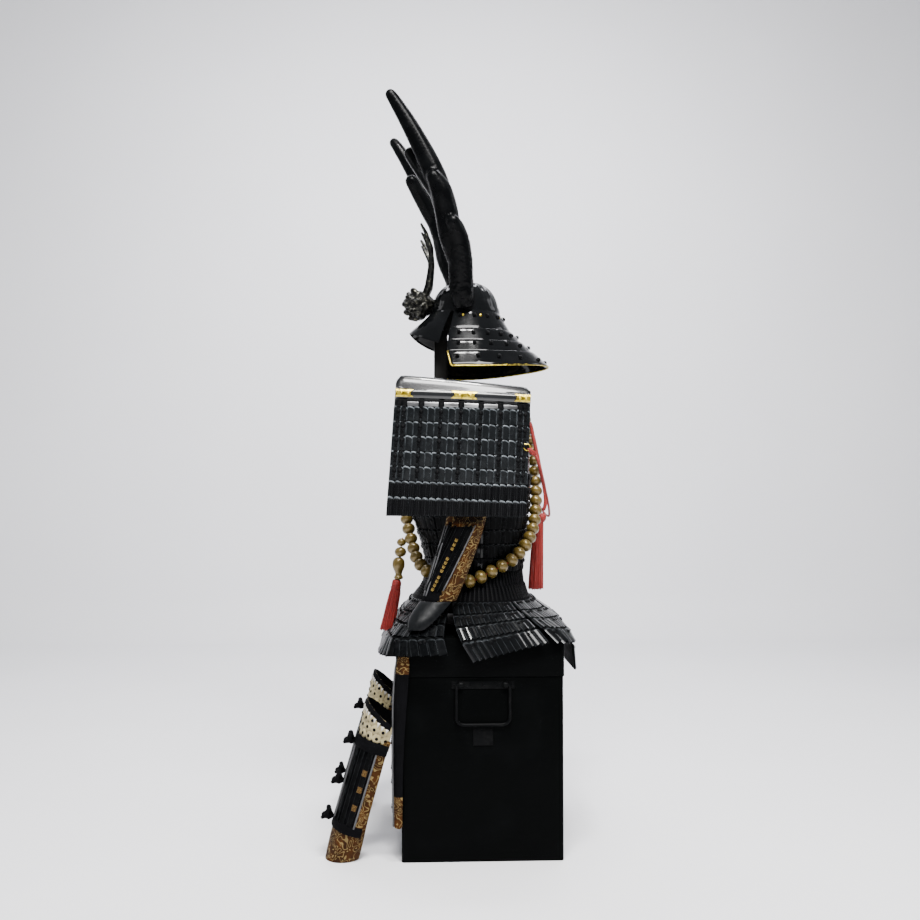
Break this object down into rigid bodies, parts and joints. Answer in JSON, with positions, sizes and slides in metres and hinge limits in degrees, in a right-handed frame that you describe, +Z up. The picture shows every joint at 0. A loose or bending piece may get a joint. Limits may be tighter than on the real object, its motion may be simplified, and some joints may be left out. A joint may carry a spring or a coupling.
{
  "type": "samurai armour on a chest and stand",
  "caption": "Suit of laced lacquered armour with antlered helmet, shoulder guards, sleeves, skirts, shin guards and prayer beads, worn by a stand on its storage chest.",
  "frame": {"origin": "centre of the chest's underside, on the floor", "axes": "+Z up, the front of the armour faces -Y, the armour's own left side is +X"},
  "size_m": [0.5778, 0.6479, 1.9449],
  "materials": {
    "chest_lacquer": "satin black lacquer",
    "iron": "blackened",
    "stand_wood": "black stain",
    "laced_lacquer": "gloss lacquer with black silk lacing",
    "helmet_lacquer": "gloss lacquer",
    "antler_lacquer": "gloss lacquer",
    "carved_metal": "dark silvered carving",
    "brocade": "brown brocade with gold pattern",
    "quilted_cloth": "cream quilted hexagons",
    "splint_cloth": "black cloth with splints and brocade patches",
    "black_cord": "black silk lacing",
    "bead_wood": "olive gold satin",
    "red_silk": "red silk"
  },
  "bodies": {
    "armour": {"chest_body": "chest_lacquer", "chest_lid": "chest_lacquer", "chest_handle_mount_left": "iron", "chest_handle_mount_right": "iron", "chest_lock_plate_left": "iron", "chest_lock_plate_right": "iron", "stand": "stand_wood", "cuirass_front": "laced_lacquer", "cuirass_back": "laced_lacquer", "tasset_front": "laced_lacquer", "tasset_front_left": "laced_lacquer", "tasset_side_left": "laced_lacquer", "tasset_back_left": "laced_lacquer", "tasset_back": "laced_lacquer", "tasset_back_right": "laced_lacquer", "tasset_side_right": "laced_lacquer", "tasset_front_right": "laced_lacquer", "shoulder_left_cap": "laced_lacquer", "shoulder_left_row_1": "laced_lacquer", "shoulder_left_row_2": "laced_lacquer", "shoulder_left_row_3": "laced_lacquer", "shoulder_left_row_4": "laced_lacquer", "shoulder_left_row_5": "laced_lacquer", "shoulder_left_row_6": "laced_lacquer", "shoulder_left_row_7": "laced_lacquer", "sleeve_left": "brocade", "shin_guard_left": "brocade", "hand_guard_left": "helmet_lacquer", "knee_guard_left": "quilted_cloth", "antler_left": "antler_lacquer", "shoulder_right_cap": "laced_lacquer", "shoulder_right_row_1": "laced_lacquer", "shoulder_right_row_2": "laced_lacquer", "shoulder_right_row_3": "laced_lacquer", "shoulder_right_row_4": "laced_lacquer", "shoulder_right_row_5": "laced_lacquer", "shoulder_right_row_6": "laced_lacquer", "shoulder_right_row_7": "laced_lacquer", "sleeve_right": "brocade", "shin_guard_right": "brocade", "hand_guard_right": "helmet_lacquer", "knee_guard_right": "quilted_cloth", "antler_right": "antler_lacquer", "waist_lacing": "black_cord", "thigh_guard": "splint_cloth", "helmet_bowl": "helmet_lacquer", "helmet_visor": "helmet_lacquer", "neck_guard_row_1": "helmet_lacquer", "neck_guard_row_2": "helmet_lacquer", "neck_guard_row_3": "helmet_lacquer", "neck_guard_row_4": "helmet_lacquer", "helmet_crest": "carved_metal", "bead_string": "bead_wood", "bead_pendant": "bead_wood", "front_tassel": "red_silk", "back_cord": "red_silk", "back_tassel": "red_silk", "shoulder_cord": "red_silk"},
    "left_handle": {"chest_handle_left": "iron"},
    "right_handle": {"chest_handle_right": "iron"}
  },
  "joints": [
    {"name": "left_handle_swing", "type": "hinge", "parent": "armour", "child": "left_handle", "pos_m": [0.259, 0, 0.434], "axis": [0, -1, 0], "range_deg": [0, 110]},
    {"name": "right_handle_swing", "type": "hinge", "parent": "armour", "child": "right_handle", "pos_m": [-0.259, 0, 0.434], "axis": [0, 1, 0], "range_deg": [0, 110]}
  ]
}
